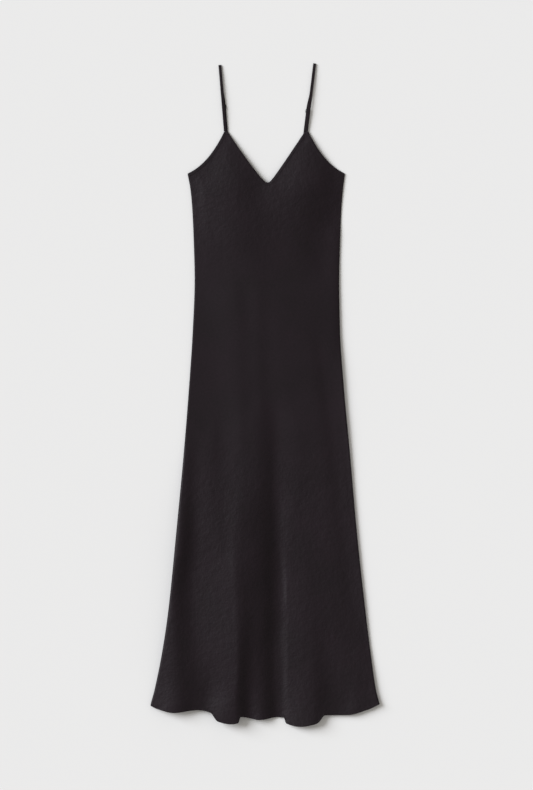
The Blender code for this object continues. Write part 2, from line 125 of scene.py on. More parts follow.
# Soft forms of the front panel
EDGE_WIDTH = 0.003
EDGE_SHARE = 0.85          # of the soft height, reached right at a side
LOFT = 0.0035
BODICE_LOFT = 0.0010       # the bodice lies flatter
LOFT_LINE = 0.400          # where the loft starts to grow
LOFT_RUN = 0.250           # and over how much of the way down
LEAST_SOFT = -0.0009       # the lowest it settles, on the back panel
SETTLE = 0.0010            # how softly it does
LEVEL_END = 0.004          # past a fold's first and last station, where its height is level
WIDTHS_MEET = 0.0045       # across a fold's line, where its two half widths blend
# The cups and big folds. Each has stations from its upper end down. Columns: y, x of its line, half
# width to the left, half width to the right, height (a trough's is negative).
FOLDS = {
    "left cup": [
        (0.614, -0.0404, 0.010, 0.012, 0.0007), (0.547, -0.0739, 0.029, 0.085, 0.0038),
        (0.458, -0.0672, 0.065, 0.050, 0.0109), (0.368, -0.0643, 0.059, 0.065, 0.0088),
        (0.234, -0.0482, 0.060, 0.064, 0.0000),
    ],
    "right cup": [
        (0.614, 0.1286, 0.010, 0.035, 0.0017), (0.547, 0.1013, 0.029, 0.061, 0.0037),
        (0.458, 0.0815, 0.088, 0.093, 0.0116), (0.368, 0.0752, 0.134, 0.085, 0.0091),
        (0.234, 0.0692, 0.121, 0.098, 0.0000),
    ],
    "left roll": [
        (-0.078, -0.1674, 0.015, 0.010, 0.0000), (-0.190, -0.1853, 0.014, 0.023, 0.0071),
        (-0.324, -0.1920, 0.018, 0.023, 0.0136), (-0.458, -0.2071, 0.023, 0.029, 0.0140),
        (-0.569, -0.2067, 0.046, 0.036, 0.0116), (-0.681, -0.1962, 0.044, 0.042, 0.0135),
        (-0.752, -0.2165, 0.033, 0.041, 0.0110),
    ],
    "first fold": [
        (-0.100, -0.0344, 0.065, 0.045, 0.0000), (-0.324, -0.0783, 0.133, 0.042, 0.0148),
        (-0.458, -0.0699, 0.120, 0.042, 0.0164), (-0.569, -0.0674, 0.144, 0.030, 0.0154),
        (-0.681, -0.0683, 0.058, 0.026, 0.0185), (-0.752, -0.0670, 0.065, 0.030, 0.0135),
    ],
    "middle fold": [
        (0.022, -0.0190, 0.058, 0.010, 0.0000), (-0.100, -0.0105, 0.042, 0.038, 0.0089),
        (-0.190, -0.0049, 0.036, 0.040, 0.0148), (-0.324, -0.0094, 0.052, 0.041, 0.0214),
        (-0.458, -0.0038, 0.076, 0.040, 0.0113), (-0.569, -0.0239, 0.076, 0.031, 0.0093),
        (-0.681, -0.0143, 0.026, 0.029, 0.0061), (-0.752, -0.0089, 0.018, 0.027, 0.0080),
    ],
    "last fold": [
        (0.022, 0.0406, 0.010, 0.051, 0.0000), (-0.078, 0.0779, 0.030, 0.102, 0.0016),
        (-0.190, 0.0839, 0.040, 0.131, 0.0039), (-0.324, 0.0549, 0.048, 0.114, 0.0063),
        (-0.458, 0.0839, 0.031, 0.043, 0.0031), (-0.569, 0.1018, 0.036, 0.026, 0.0033),
        (-0.681, 0.1067, 0.040, 0.026, 0.0055), (-0.752, 0.1038, 0.041, 0.049, 0.0095),
    ],
    "right fold": [
        (-0.167, 0.1645, 0.062, 0.032, 0.0000), (-0.368, 0.1641, 0.076, 0.062, -0.0007),
        (-0.547, 0.2078, 0.079, 0.010, 0.0004), (-0.681, 0.2103, 0.028, 0.063, 0.0040),
        (-0.752, 0.2076, 0.045, 0.036, 0.0060),
    ],
    "right roll": [
        (0.145, 0.1594, 0.011, 0.016, 0.0000), (-0.056, 0.1870, 0.011, 0.022, 0.0010),
        (-0.324, 0.2243, 0.010, 0.024, 0.0035), (-0.547, 0.2540, 0.010, 0.018, 0.0030),
        (-0.681, 0.2652, 0.030, 0.021, 0.0035), (-0.752, 0.2556, 0.020, 0.016, 0.0030),
    ],
}
# Small creases and soft swellings, in the same columns.
CREASES = {
    "bust pull": [
        (0.547, 0.1348, 0.018, 0.022, 0.0000), (0.480, 0.1627, 0.032, 0.047, -0.0065),
        (0.424, 0.1663, 0.062, 0.070, -0.0079), (0.346, 0.1250, 0.045, 0.052, -0.0052),
        (0.234, 0.1362, 0.013, 0.015, 0.0000),
    ],
    "waist ridge": [
        (0.324, -0.0962, 0.086, 0.067, 0.0000), (0.212, -0.0723, 0.057, 0.033, 0.0049),
        (0.056, -0.0607, 0.038, 0.031, 0.0026), (-0.078, -0.0605, 0.032, 0.020, 0.0022),
        (-0.234, -0.0509, 0.039, 0.040, 0.0055), (-0.368, -0.0627, 0.075, 0.010, 0.0000),
    ],
    "hip ridge": [
        (0.324, -0.0312, 0.035, 0.026, 0.0000), (0.212, -0.0201, 0.027, 0.021, 0.0018),
        (0.056, -0.0172, 0.023, 0.020, 0.0017), (-0.078, -0.0116, 0.037, 0.023, 0.0000),
    ],
    "thigh ridge": [
        (0.011, -0.1149, 0.010, 0.030, 0.0000), (-0.078, -0.1178, 0.021, 0.014, 0.0005),
        (-0.234, -0.1330, 0.049, 0.043, 0.0042), (-0.368, -0.0886, 0.013, 0.010, 0.0000),
    ],
    "right crease": [
        (0.190, 0.1136, 0.015, 0.022, 0.0000), (0.056, 0.1317, 0.019, 0.037, -0.0018),
        (-0.078, 0.1495, 0.019, 0.026, -0.0019), (-0.324, 0.1783, 0.019, 0.042, -0.0021),
        (-0.547, 0.2221, 0.052, 0.028, -0.0043), (-0.658, 0.2589, 0.071, 0.030, 0.0000),
    ],
    "neck ridge": [
        (0.484, 0.0143, 0.020, 0.014, 0.0000), (0.453, 0.0147, 0.015, 0.010, 0.0007),
        (0.413, 0.0290, 0.033, 0.038, 0.0005), (0.357, -0.0087, 0.024, 0.020, 0.0000),
    ],
    "left side": [
        (0.513, -0.1587, 0.013, 0.044, 0.0000), (0.446, -0.1292, 0.022, 0.052, 0.0036),
        (0.346, -0.1257, 0.026, 0.047, 0.0016), (0.212, -0.1379, 0.010, 0.025, 0.0000),
    ],
    "hem lift": [
        (-0.569, -0.1094, 0.044, 0.027, 0.0000), (-0.681, -0.1254, 0.015, 0.027, -0.0015),
        (-0.752, -0.1138, 0.020, 0.027, 0.0025),
    ],
    "groove": [
        (-0.435, -0.0280, 0.016, 0.040, 0.0000), (-0.547, -0.0330, 0.012, 0.040, -0.0011),
        (-0.600, -0.0391, 0.011, 0.040, -0.0016), (-0.681, -0.0391, 0.011, 0.040, -0.0016),
        (-0.752, -0.0400, 0.011, 0.040, -0.0016),
    ],
    "middle lift": [
        (-0.400, 0.0300, 0.080, 0.080, 0.0000), (-0.580, 0.0300, 0.080, 0.080, 0.0022),
        (-0.752, 0.0300, 0.080, 0.080, 0.0030),
    ],
    "rib lift": [
        (0.520, 0.1550, 0.090, 0.050, 0.0000), (0.440, 0.1550, 0.090, 0.050, 0.0024),
        (0.380, 0.1550, 0.090, 0.050, 0.0024), (0.290, 0.1550, 0.090, 0.050, 0.0000),
    ],
    "lip glint": [
        (-0.395, 0.0474, 0.003, 0.006, 0.0000), (-0.435, 0.0476, 0.003, 0.006, 0.0007),
        (-0.480, 0.0480, 0.003, 0.006, 0.0000),
    ],
    "right edge lift": [
        (-0.190, 0.2000, 0.090, 0.090, 0.0000), (-0.324, 0.2150, 0.090, 0.090, 0.0016),
        (-0.458, 0.2320, 0.090, 0.090, 0.0028), (-0.569, 0.2450, 0.090, 0.090, 0.0028),
        (-0.614, 0.2500, 0.080, 0.090, 0.0002), (-0.658, 0.2560, 0.070, 0.090, -0.0030),
        (-0.752, 0.2560, 0.070, 0.090, -0.0020),
    ],
    "last lip": [
        (-0.279, 0.0310, 0.012, 0.014, 0.0000), (-0.368, 0.0460, 0.010, 0.012, 0.0013),
        (-0.502, 0.0531, 0.016, 0.029, 0.0035), (-0.636, 0.0551, 0.012, 0.044, 0.0027),
        (-0.752, 0.0571, 0.017, 0.020, 0.0019),
    ],
    "valley": [
        (0.022, 0.0147, 0.010, 0.026, 0.0000), (-0.190, 0.0116, 0.057, 0.028, -0.0103),
        (-0.368, 0.0203, 0.033, 0.033, -0.0119), (-0.569, 0.0237, 0.019, 0.055, -0.0051),
        (-0.752, 0.0275, 0.020, 0.030, -0.0065),
    ],
    "right side": [
        (0.424, 0.1667, 0.019, 0.013, 0.0000), (0.346, 0.1723, 0.011, 0.015, -0.0020),
        (0.212, 0.1808, 0.015, 0.017, -0.0043), (0.056, 0.1625, 0.012, 0.015, 0.0000),
    ],
    "belly": [
        (0.379, -0.0266, 0.123, 0.123, 0.0000), (0.212, 0.0145, 0.073, 0.105, 0.0063),
        (-0.056, 0.0683, 0.087, 0.180, 0.0014), (-0.279, 0.0359, 0.120, 0.131, -0.0059),
        (-0.502, 0.0116, 0.119, 0.146, 0.0000),
    ],
}

# Grid of the front panel. Columns: x in the bodice, x at the hem, faces up to the next line. The sides
# and rims keep to the panel's outline instead.
RIM = 0.004
GRID_LINES = {
    "left side": (-0.1734, -0.2556, 6),
    "left rim": (-0.1694, -0.2516, 38),
    "left apex, outer": (APEX_X["left"] - APEX_HALF, -0.1200, 8),
    "left apex, inner": (APEX_X["left"] + APEX_HALF, -0.1060, 22),
    "first fold, brink": (-0.0560, -0.0610, 14),
    "first fold, foot": (-0.0400, -0.0480, 16),
    "neck point": (NECK_POINT[0], 0.0080, 14),
    "last fold, root": (0.0250, 0.0320, 10),
    "last fold, foot": (0.0330, 0.0410, 14),
    "last fold, brink": (0.0460, 0.0540, 22),
    "right apex, inner": (APEX_X["right"] - APEX_HALF, 0.1060, 8),
    "right apex, outer": (APEX_X["right"] + APEX_HALF, 0.1200, 38),
    "right rim": (0.1741, 0.2516, 6),
    "right side": (0.1781, 0.2556, 0),
}
BASE_LINE = 0.435
KNEE_LINE = -0.350
SKIRT_ROWS = 148
SKIRT_PACKING = 1.3        # above 1, rows lie closer together towards the hem
CUP_ROWS = 34
BINDING_ROWS = 5
HEM_BAND_ROWS = 2
BACK_BINDING_ROWS = 2


# ---------------------------------------------------------------- curves and forms


def ease(t):
    """Smooth step: 0 up to 0, 1 from 1 on, t squared times (3 - 2t) between."""
    t = np.clip(t, 0.0, 1.0)
    return t * t * (3.0 - 2.0 * t)


def smooth_through(knots, values, at):
    """Cubic through (knots, values) whose tangents are harmonic means of the slopes on each side."""
    step = np.diff(knots)
    slope = np.diff(values) / step
    before, after = slope[:-1], slope[1:]
    same_way = before * after > 0.0
    both = np.where(same_way, before + after, 1.0)
    inner = np.where(same_way, 2.0 * before * after / both, 0.0)
    tangent = np.concatenate([slope[:1], inner, slope[-1:]])
    at = np.clip(at, knots[0], knots[-1])
    i = np.clip(np.searchsorted(knots, at, side="right") - 1, 0, len(step) - 1)
    t = (at - knots[i]) / step[i]
    value = (1 + 2 * t) * (1 - t) ** 2 * values[i] + t * t * (3 - 2 * t) * values[i + 1]
    bend = t * (1 - t) ** 2 * tangent[i] - t * t * (1 - t) * tangent[i + 1]
    return value + step[i] * bend


def side_edges(y):
    """x of the left and right edge at height y, a smooth curve through the outline's sections."""
    table = np.array(list(SECTIONS.values()))[::-1]
    left = -smooth_through(table[:, 0], table[:, 1], y)
    right = smooth_through(table[:, 0], table[:, 2], y)
    return left, right


def hem_y(x):
    """y of the front panel's lower edge at x, a smooth curve through the hem's points."""
    table = np.array(list(HEM.values()))
    return smooth_through(table[:, 0], table[:, 1], x)


def armhole_y(x, side):
    """The armhole rises from the underarm to the apex: part straight, part a power of the way."""
    underarm_y, left, right = SECTIONS["underarm"]
    if side == "left":
        start, end = -left, APEX_X["left"] - APEX_HALF
    else:
        start, end = right, APEX_X["right"] + APEX_HALF
    t = np.clip((x - start) / (end - start), 0.0, 1.0)
    rise = ARMHOLE_LINEAR * t + (1.0 - ARMHOLE_LINEAR) * t**ARMHOLE_POWER
    return underarm_y + (APEX_Y - underarm_y) * rise


def neck_y(x, side):
    """The neckline rises from the neck point along a hyperbola, less a little bow."""
    end = APEX_X["left"] + APEX_HALF if side == "left" else APEX_X["right"] - APEX_HALF
    t = np.clip((x - NECK_POINT[0]) / (end - NECK_POINT[0]), 0.0, 1.0)
    c = NECK_ROUNDING
    rise = (np.sqrt(t * t + c * c) - c) / (math.sqrt(1.0 + c * c) - c)
    bow = NECK_BOW[side] * t * (1.0 - t)
    return NECK_POINT[1] + (APEX_Y - NECK_POINT[1]) * rise - bow


def top_y(x):
    """Upper edge of the front panel: armholes outside the apexes, neckline between them."""
    left, right = APEX_X["left"], APEX_X["right"]
    y = np.where(x < NECK_POINT[0], neck_y(x, "left"), neck_y(x, "right"))
    y = np.where(x < left - APEX_HALF, armhole_y(x, "left"), y)
    return np.where(x > right + APEX_HALF, armhole_y(x, "right"), y)


def fold_height(stations, x, y):
    """A fold's height: along it the heights of its stations, smoothly joined and level at both ends;
    across it a bell, with its own half width on each side of the fold's line."""
    table = np.array(stations)[::-1]
    line, left, right = (smooth_through(table[:, 0], table[:, k], y) for k in (1, 2, 3))
    knots = np.concatenate([table[:1, 0] - LEVEL_END, table[:, 0], table[-1:, 0] + LEVEL_END])
    height = smooth_through(knots, np.concatenate([table[:1, 4], table[:, 4], table[-1:, 4]]), y)
    aside = x - line
    share = 0.5 - 0.5 * aside / np.sqrt(aside**2 + WIDTHS_MEET**2)
    return height * np.exp(-((aside / (right + (left - right) * share)) ** 2))


def front_z(x, y):
    """Height of the front panel's upper face: loft, folds and creases, held off the back panel by a
    hyperbola, and eased in from the sides."""
    left, right = side_edges(y)
    soft = BODICE_LOFT + (LOFT - BODICE_LOFT) * ease((LOFT_LINE - y) / LOFT_RUN) + np.zeros_like(x)
    for stations in [*FOLDS.values(), *CREASES.values()]:
        soft += fold_height(stations, x, y)
    above = soft - LEAST_SOFT
    soft = LEAST_SOFT + 0.5 * (above + np.sqrt(above**2 + SETTLE**2))
    inside = ease((np.minimum(x - left, right - x) - SIDE_ROLL) / EDGE_WIDTH)
    return SEAM_Z + soft * (EDGE_SHARE + (1.0 - EDGE_SHARE) * inside)


def row_x(toward_hem, left, right):
    """x of every column of the front panel's grid in one row, between the lines it must follow."""
    lines = list(GRID_LINES.values())
    last = len(lines) - 1
    ends = [line[0] + (line[1] - line[0]) * toward_hem for line in lines]
    ends[:2] = left, left + RIM
    ends[-2:] = right - RIM, right
    runs = [np.linspace(ends[i], ends[i + 1], lines[i][2], endpoint=False) for i in range(last)]
    return np.concatenate(runs + [[right]])


def front_points():
    """Grid of the front panel's upper face, rows from the hem up and columns from left to right.

    Straight rows carry the hem's shape, which fades out above it. Above the base line the rows share
    out the way to the upper edge, and the last few, under the bindings, turn down a little."""
    lines = list(GRID_LINES.values())
    last = len(lines) - 1
    corner_y = np.array([HEM["left corner"][1], HEM["right corner"][1]])
    shape = hem_y(row_x(1.0, lines[0][1], lines[last][1])) + HEM_ROLL - HEM_LEVEL
    rows = []
    for up in np.linspace(0.0, 1.0, SKIRT_ROWS + 1) ** SKIRT_PACKING:
        level = HEM_LEVEL + (BASE_LINE - HEM_LEVEL) * up
        fade = ease(1.0 - (level - HEM_LEVEL) / HEM_EASE)
        side_y = level + (corner_y - HEM_LEVEL) * fade
        toward_hem = ease((BASE_LINE - level) / (BASE_LINE - KNEE_LINE))
        left = side_edges(side_y[0])[0] + SIDE_ROLL
        right = side_edges(side_y[1])[1] - SIDE_ROLL
        rows.append((row_x(toward_hem, left, right), level + shape * fade))
    top_x = row_x(0.0, lines[0][0], lines[last][0])
    outline = top_y(top_x)
    steepness = np.hypot(1.0, np.clip(np.gradient(outline, top_x), -STEEPEST, STEEPEST))
    edge = outline - BINDING_ROLL * steepness
    inner = edge - BINDING_WIDTH * steepness
    toward_inner = np.linspace(0.0, 1.0, CUP_ROWS + 1)[1:]
    toward_edge = np.linspace(0.0, 1.0, BINDING_ROWS + 1)[1:]
    heights = [BASE_LINE + (inner - BASE_LINE) * up for up in toward_inner]
    heights += [inner + (edge - inner) * up for up in toward_edge]
    for y in heights:
        left = side_edges(y[0])[0] + SIDE_ROLL
        right = side_edges(y[-1])[1] - SIDE_ROLL
        rows.append((row_x(0.0, left, right), y))
    x = np.array([row[0] for row in rows])
    y = np.array([row[1] for row in rows])
    z = front_z(x, y)
    z[-BINDING_ROWS:] -= EDGE_DROP * toward_edge[:, None] ** 2
    return np.stack([x, y, z], axis=-1)


def back_points(columns=96, rows=110):
    """Grid of the back panel's upper face: flat, with a scooped top edge, a curved hem and a low lift
    of the hem under each big fold."""
    across = np.linspace(-1.0, 1.0, columns + 1)
    up = np.linspace(0.0, 1.0, rows + 1)[:, None]
    hem = BACK_HEM_SIDE + HEM_ROLL - BACK_HEM_DROP * (1.0 - across**2)
    edge = SECTIONS["underarm"][0] - BINDING_ROLL - BACK_SCOOP * (1.0 - across**2)
    inner = edge - BINDING_WIDTH
    toward_edge = np.linspace(0.0, 1.0, BACK_BINDING_ROWS + 1)[1:, None]
    y = np.concatenate([hem + (inner - hem) * up, inner + (edge - inner) * toward_edge])
    left, right = side_edges(y)
    x = left + SIDE_ROLL + (right - left - 2.0 * SIDE_ROLL) * (across + 1.0) / 2.0
    lift = sum(np.exp(-(((x - at) / BACK_WAVE_HALF) ** 2)) for at in (-BACK_WAVE_X, BACK_WAVE_X))
    z = CLOTH + BACK_WAVE * lift * ease((BACK_WAVE_LINE - y) / BACK_WAVE_RUN)
    return np.stack([x, y, z], axis=-1)


def grid_normals(points):
    """Unit normals of a grid of points: the cross product of its steps along columns and rows."""
    cross = np.cross(np.gradient(points, axis=1), np.gradient(points, axis=0))
    return cross / np.linalg.norm(cross, axis=-1, keepdims=True)


def unit(vectors):
    """Vectors of length 1."""
    return vectors / np.linalg.norm(vectors, axis=-1, keepdims=True)


# ---------------------------------------------------------------- meshes


def grid_mesh(name, points, uv=None, wrap_columns=False, caps=False):
    """A mesh of quads between neighbouring points of a grid, closed round its columns on request.

    Each corner's map position is its point's own, in metres of cloth."""
    rows, columns = points.shape[:2]
    index = np.arange(rows * columns).reshape(rows, columns)
    if wrap_columns:
        index = np.concatenate([index, index[:, :1]], axis=1)
    quads = np.stack([index[:-1, :-1], index[:-1, 1:], index[1:, 1:], index[1:, :-1]], axis=-1)
    quads = quads.reshape(-1, 4)
    loops = quads.reshape(-1)
    starts = np.arange(len(quads)) * 4
    sizes = np.full(len(quads), 4)
    if caps:
        ends = np.concatenate([index[0, :columns][::-1], index[-1, :columns]])
        starts = np.concatenate([starts, len(loops) + np.array([0, columns])])
        sizes = np.concatenate([sizes, [columns, columns]])
        loops = np.concatenate([loops, ends])
    mesh = bpy.data.meshes.new(name)
    mesh.vertices.add(rows * columns)
    mesh.vertices.foreach_set("co", points.reshape(-1).astype(np.float32))
    mesh.loops.add(len(loops))
    mesh.loops.foreach_set("vertex_index", loops.astype(np.int32))
    mesh.polygons.add(len(starts))
    mesh.polygons.foreach_set("loop_start", starts.astype(np.int32))
    mesh.polygons.foreach_set("loop_total", sizes.astype(np.int32))
    if uv is None:
        uv = cloth_map(points)
    layer = mesh.uv_layers.new(name="cloth")
    layer.data.foreach_set("uv", uv.reshape(-1, 2)[loops].reshape(-1).astype(np.float32))
    mesh.update(calc_edges=True)
    mesh.validate()
    mesh.shade_smooth()
    return mesh


def cloth_map(points):
    """Distance along the cloth, in metres, from the first column and from the first row."""
    across = np.linalg.norm(np.diff(points, axis=1), axis=-1)
    along = np.linalg.norm(np.diff(points, axis=0), axis=-1)
    u = np.concatenate([np.zeros((len(points), 1)), np.cumsum(across, axis=1)], axis=1)
    v = np.concatenate([np.zeros((1, points.shape[1])), np.cumsum(along, axis=0)], axis=0)
    return np.stack([u - u.mean(axis=1, keepdims=True), v], axis=-1)


def place(name, mesh, material, replaced=()):
    """An object at the origin that rides on the dress's one body and stands for the nodes named."""
    piece = bpy.data.objects.new(name, mesh)
    bpy.context.scene.collection.objects.link(piece)
    mesh.materials.append(material)
    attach(piece, "root")
    if replaced:
        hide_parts(*replaced)
    return piece


def add_wall(piece, thickness):
    """Gives an open surface its thickness, under its points."""
    wall = piece.modifiers.new("Wall", "SOLIDIFY")
    wall.thickness = thickness
    wall.offset = -1.0


def bound_edge(normals, edge, inner, lift=BINDING_LIFT, roll=BINDING_ROLL):
    """Points of a binding round a panel's edge, as a closed profile carried along the edge.

    edge and inner are the panel's points at its edge and under the binding's inner border, and
    normals those of the edge. The profile starts on the face at the inner border, swells and falls a
    little on a sine, goes over the edge on a half ellipse and ends under the panel."""
    tangent = unit(np.gradient(edge, axis=0))
    width = inner - edge
    outward = -width - tangent * np.sum(-width * tangent, axis=1, keepdims=True)
    outward = unit(outward - normals * np.sum(outward * normals, axis=1, keepdims=True))
    rows = []
    for share in np.linspace(1.0, 0.0, 9):
        height = lift * math.sin(0.75 * math.pi * (1.0 - 0.95 * share))
        rows.append(edge + width * share + normals * height)
    half = 0.5 * CLOTH + lift
    for angle in np.linspace(0.5 * math.pi, -0.5 * math.pi, 7)[1:-1]:
        reach = outward * roll * math.cos(angle)
        rows.append(edge + reach + normals * (half * math.sin(angle) - 0.5 * CLOTH))
    for share in np.linspace(0.0, BORDER_SHARE, 5):
        rows.append(edge + width * share - normals * (CLOTH + lift))
    rows.append(edge + width * BORDER_SHARE - normals * (CLOTH + BORDER_TUCK))
    rows.append(edge + width - normals * BORDER_TUCK)
    return faced_out(np.stack(rows, axis=1))


def stitches(name, line, normals, material, spacing=0.0026, length=0.0019, radius=0.00018):
    """A row of stitches: one small spindle of six sides, copied to even steps along a line."""
    steps = np.linalg.norm(np.diff(line, axis=0), axis=-1)
    run = np.concatenate([[0.0], np.cumsum(steps)])
    count = int(run[-1] / spacing)
    at = (np.arange(count) + 0.5) * run[-1] / count

    def read(values):
        return np.stack([np.interp(at, run, values[:, k]) for k in range(3)], axis=-1)

    centre, up = read(line), unit(read(normals))
    ahead = unit(read(np.gradient(line, axis=0)))
    side = np.cross(up, ahead)
    stations = np.linspace(-0.5, 0.5, 5)
    girth = np.sqrt(np.clip(1.0 - (2.0 * stations) ** 2, 0.0, 1.0)) + 0.05
    turn = np.arange(6) * math.pi / 3.0
    ring = np.stack([np.cos(turn), np.sin(turn)], axis=-1) * radius
    local = (
        stations[None, :, None, None] * length * ahead[:, None, None, :]
        + girth[None, :, None, None] * ring[None, None, :, :1] * side[:, None, None, :]
        + girth[None, :, None, None] * ring[None, None, :, 1:] * up[:, None, None, :]
    )
    points = centre[:, None, None, :] + local
    index = np.arange(count * 30).reshape(count, 5, 6)
    turned = np.roll(index, -1, axis=2)
    quads = np.stack([index[:, :-1], turned[:, :-1], turned[:, 1:], index[:, 1:]], axis=-1)
    faces = quads.reshape(-1, 4).tolist()
    faces += index[:, 0, ::-1].tolist() + index[:, -1].tolist()
    mesh = bpy.data.meshes.new(name)
    mesh.from_pydata(points.reshape(-1, 3).tolist(), [], faces)
    layer = mesh.uv_layers.new(name="cloth")
    layer.data.foreach_set("uv", np.zeros(len(mesh.loops) * 2, np.float32))
    mesh.shade_smooth()
    return place(name, mesh, material)


# ---------------------------------------------------------------- straps and their hardware

# Columns: x and y of the top fold, x of the foot at the apex, y of the slider, and how far the back
# layers lie to the left there: the straps come closer together at the back.
STRAPS = {
    "left": (-0.1010, 0.7366, -0.0889, 0.6430, -0.0022),
    "right": (0.1104, 0.7400, 0.0920, 0.6335, 0.0030),
}
STRAP_WIDTH = 0.0065
RIBBON = 0.0010
BACK_STRAP_Z = 0.0006
BACK_START = 0.012         # how far below the top fold the back layer's level run starts
FOLD_RADIUS = 0.00078
APEX_GAP = 0.0004
APEX_SINK = 0.00075        # how far under the panel's face a front strap's line meets the apex
STRAP_ARC = 0.0022         # how far a front strap bows up between its ends
PEEK_RUN = 0.035           # over how much of its length a back layer moves aside
PEEK_START = 1.2           # how many such lengths above the slider it starts to
BAR = 0.0011
FRAME_WIDTH = 0.0092
FRAME_CORNER = 0.0015
FRAME_Z = 0.0020
SLIDER_LENGTH = 0.0090
LOOP_LENGTH = 0.0060
LOOP_ABOVE_BACK = 0.0050
OVER_BAR_Z = 0.0034
WEAVE_FOOT = 0.0030
WEAVE_TOP = 0.0009
NEAR_BAR = 0.0060
TURN_LEAD = 0.0010         # how far before the loop's bar the strap starts to turn round it
RETURN_Z = 0.0020
TAB_OVER_BACK_Z = 0.0036
TAB_LAP = 0.0100
TAB_SHORT = 0.0024         # how far above the back panel's edge the tab's lower layer starts
TAB_TURN_LEAD = 0.0004


def half_turn(at, z, radius, outward, steps=12):
    """Half a circle in a strap's lengthwise plane, as (distance, z), from above to below."""
    angle = np.linspace(0.5 * math.pi, -0.5 * math.pi, steps + 1)
    return np.stack([at + outward * radius * np.cos(angle), z + radius * np.sin(angle)], axis=-1)


def level_run(start, end, z, steps):
    """Points at one height from one distance to another."""
    return np.stack([np.linspace(start, end, steps), np.full(steps, z)], axis=-1)


class Strap:
    """One strap's line in plan, and the places along it, measured down from its top fold."""

    def __init__(self, side):
        top_x, top_y_value, foot_x, slider_y, self.peek = STRAPS[side]
        self.top = np.array([top_x, top_y_value - FOLD_RADIUS - RIBBON / 2.0])
        foot = np.array([foot_x, APEX_Y + APEX_GAP])
        self.front_length = float(np.linalg.norm(foot - self.top))
        self.down = (foot - self.top) / self.front_length
        self.across = np.array([-self.down[1], self.down[0], 0.0])
        apex_face = front_z(np.array([APEX_X[side]]), np.array([APEX_Y]))
        self.apex_z = float(apex_face[0]) - APEX_SINK
        self.slider = (slider_y - self.top[1]) / self.down[1]
        back_y = self.back_edge()
        self.loop = (back_y + LOOP_ABOVE_BACK - self.top[1]) / self.down[1]
        self.edge = (back_y - self.top[1]) / self.down[1]

    def back_edge(self):
        """y of the back panel's top edge where the strap's line, moved aside, crosses it."""
        underarm_y, left, right = SECTIONS["underarm"]
        y = underarm_y - BACK_SCOOP
        for _ in range(4):
            x = self.plan((y - self.top[1]) / self.down[1], self.peek)[0]
            share = (2.0 * x + left - right) / (left + right)
            y = underarm_y - BACK_SCOOP * (1.0 - share**2)
        return y

    def plan(self, distance, aside):
        """x and y at each distance down from the top fold, moved aside to the left."""
        distance, aside = np.broadcast_arrays(distance, aside)
        return self.top + self.down * distance[..., None] - aside[..., None] * np.array([1.0, 0.0])

    def lift(self, side_view, aside):
        """Points in space from (distance, z) and how far each lies to the left."""
        return np.concatenate([self.plan(side_view[:, 0], aside), side_view[:, 1:]], axis=1)

    def path(self):
        """Up the front, round the top fold, down the back through the slider, round the loop and up."""
        low = BACK_STRAP_Z + 2.0 * FOLD_RADIUS
        share = np.linspace(1.0, 0.0, 60, endpoint=False)
        height = low + (self.apex_z - low) * share + 4.0 * STRAP_ARC * share * (1.0 - share)
        front = np.stack([self.front_length * share, height], axis=-1)
        fold = half_turn(0.0, BACK_STRAP_Z + FOLD_RADIUS, FOLD_RADIUS, -1.0)
        upper_bar = self.loop - LOOP_LENGTH / 2.0 + BAR / 2.0
        lower_bar = self.slider + SLIDER_LENGTH / 2.0 - BAR / 2.0
        across = np.linspace(-1.0, 1.0, 25)
        hump = ease((WEAVE_FOOT - np.abs(across) * WEAVE_FOOT) / (WEAVE_FOOT - WEAVE_TOP))
        over = BACK_STRAP_Z + (OVER_BAR_Z - BACK_STRAP_Z) * hump
        weave = np.stack([self.slider + across * WEAVE_FOOT, over], axis=-1)
        back = [
            level_run(BACK_START, self.slider - NEAR_BAR, BACK_STRAP_Z, 24),
            weave,
            level_run(self.slider + NEAR_BAR, upper_bar - TURN_LEAD, BACK_STRAP_Z, 40),
            half_turn(upper_bar, FRAME_Z, OVER_BAR_Z - FRAME_Z, 1.0)[::-1],
            level_run(upper_bar - NEAR_BAR, lower_bar + NEAR_BAR, RETURN_Z, 40),
            level_run(lower_bar + BAR, lower_bar - BAR / 2.0, OVER_BAR_Z, 3),
        ]
        back = np.concatenate(back)
        side_view = np.concatenate([front, fold, back])
        peek = self.peek * ease((back[:, 0] - self.slider) / PEEK_RUN + PEEK_START)
        aside = np.concatenate([np.zeros(len(front) + len(fold)), peek])
        return self.lift(side_view, aside)

    def tab_path(self):
        """On the plane up to the loop, round its lower bar, and over the back panel."""
        lower_bar = self.loop + LOOP_LENGTH / 2.0 - BAR / 2.0
        radius = (TAB_OVER_BACK_Z - BACK_STRAP_Z) / 2.0
        side_view = [
            level_run(self.edge - TAB_SHORT, lower_bar + TAB_TURN_LEAD, BACK_STRAP_Z, 3),
            half_turn(lower_bar, BACK_STRAP_Z + radius, radius, -1.0)[::-1],
            level_run(self.edge, self.edge + TAB_LAP, TAB_OVER_BACK_Z, 8),
        ]
        side_view = np.concatenate(side_view)
        return self.lift(side_view, np.full(len(side_view), self.peek))


def faced_out(points):
    """The same closed grid with its columns turned round if its volume comes out negative."""
    index = np.roll(points, -1, axis=1)
    a, b, c, d = points[:-1], index[:-1], index[1:], points[1:]
    centre = points.mean(axis=(0, 1))
    a, b, c, d = a - centre, b - centre, c - centre, d - centre
    volume = np.sum(a * np.cross(b, c)) + np.sum(a * np.cross(c, d))
    return points if volume > 0.0 else points[:, ::-1]


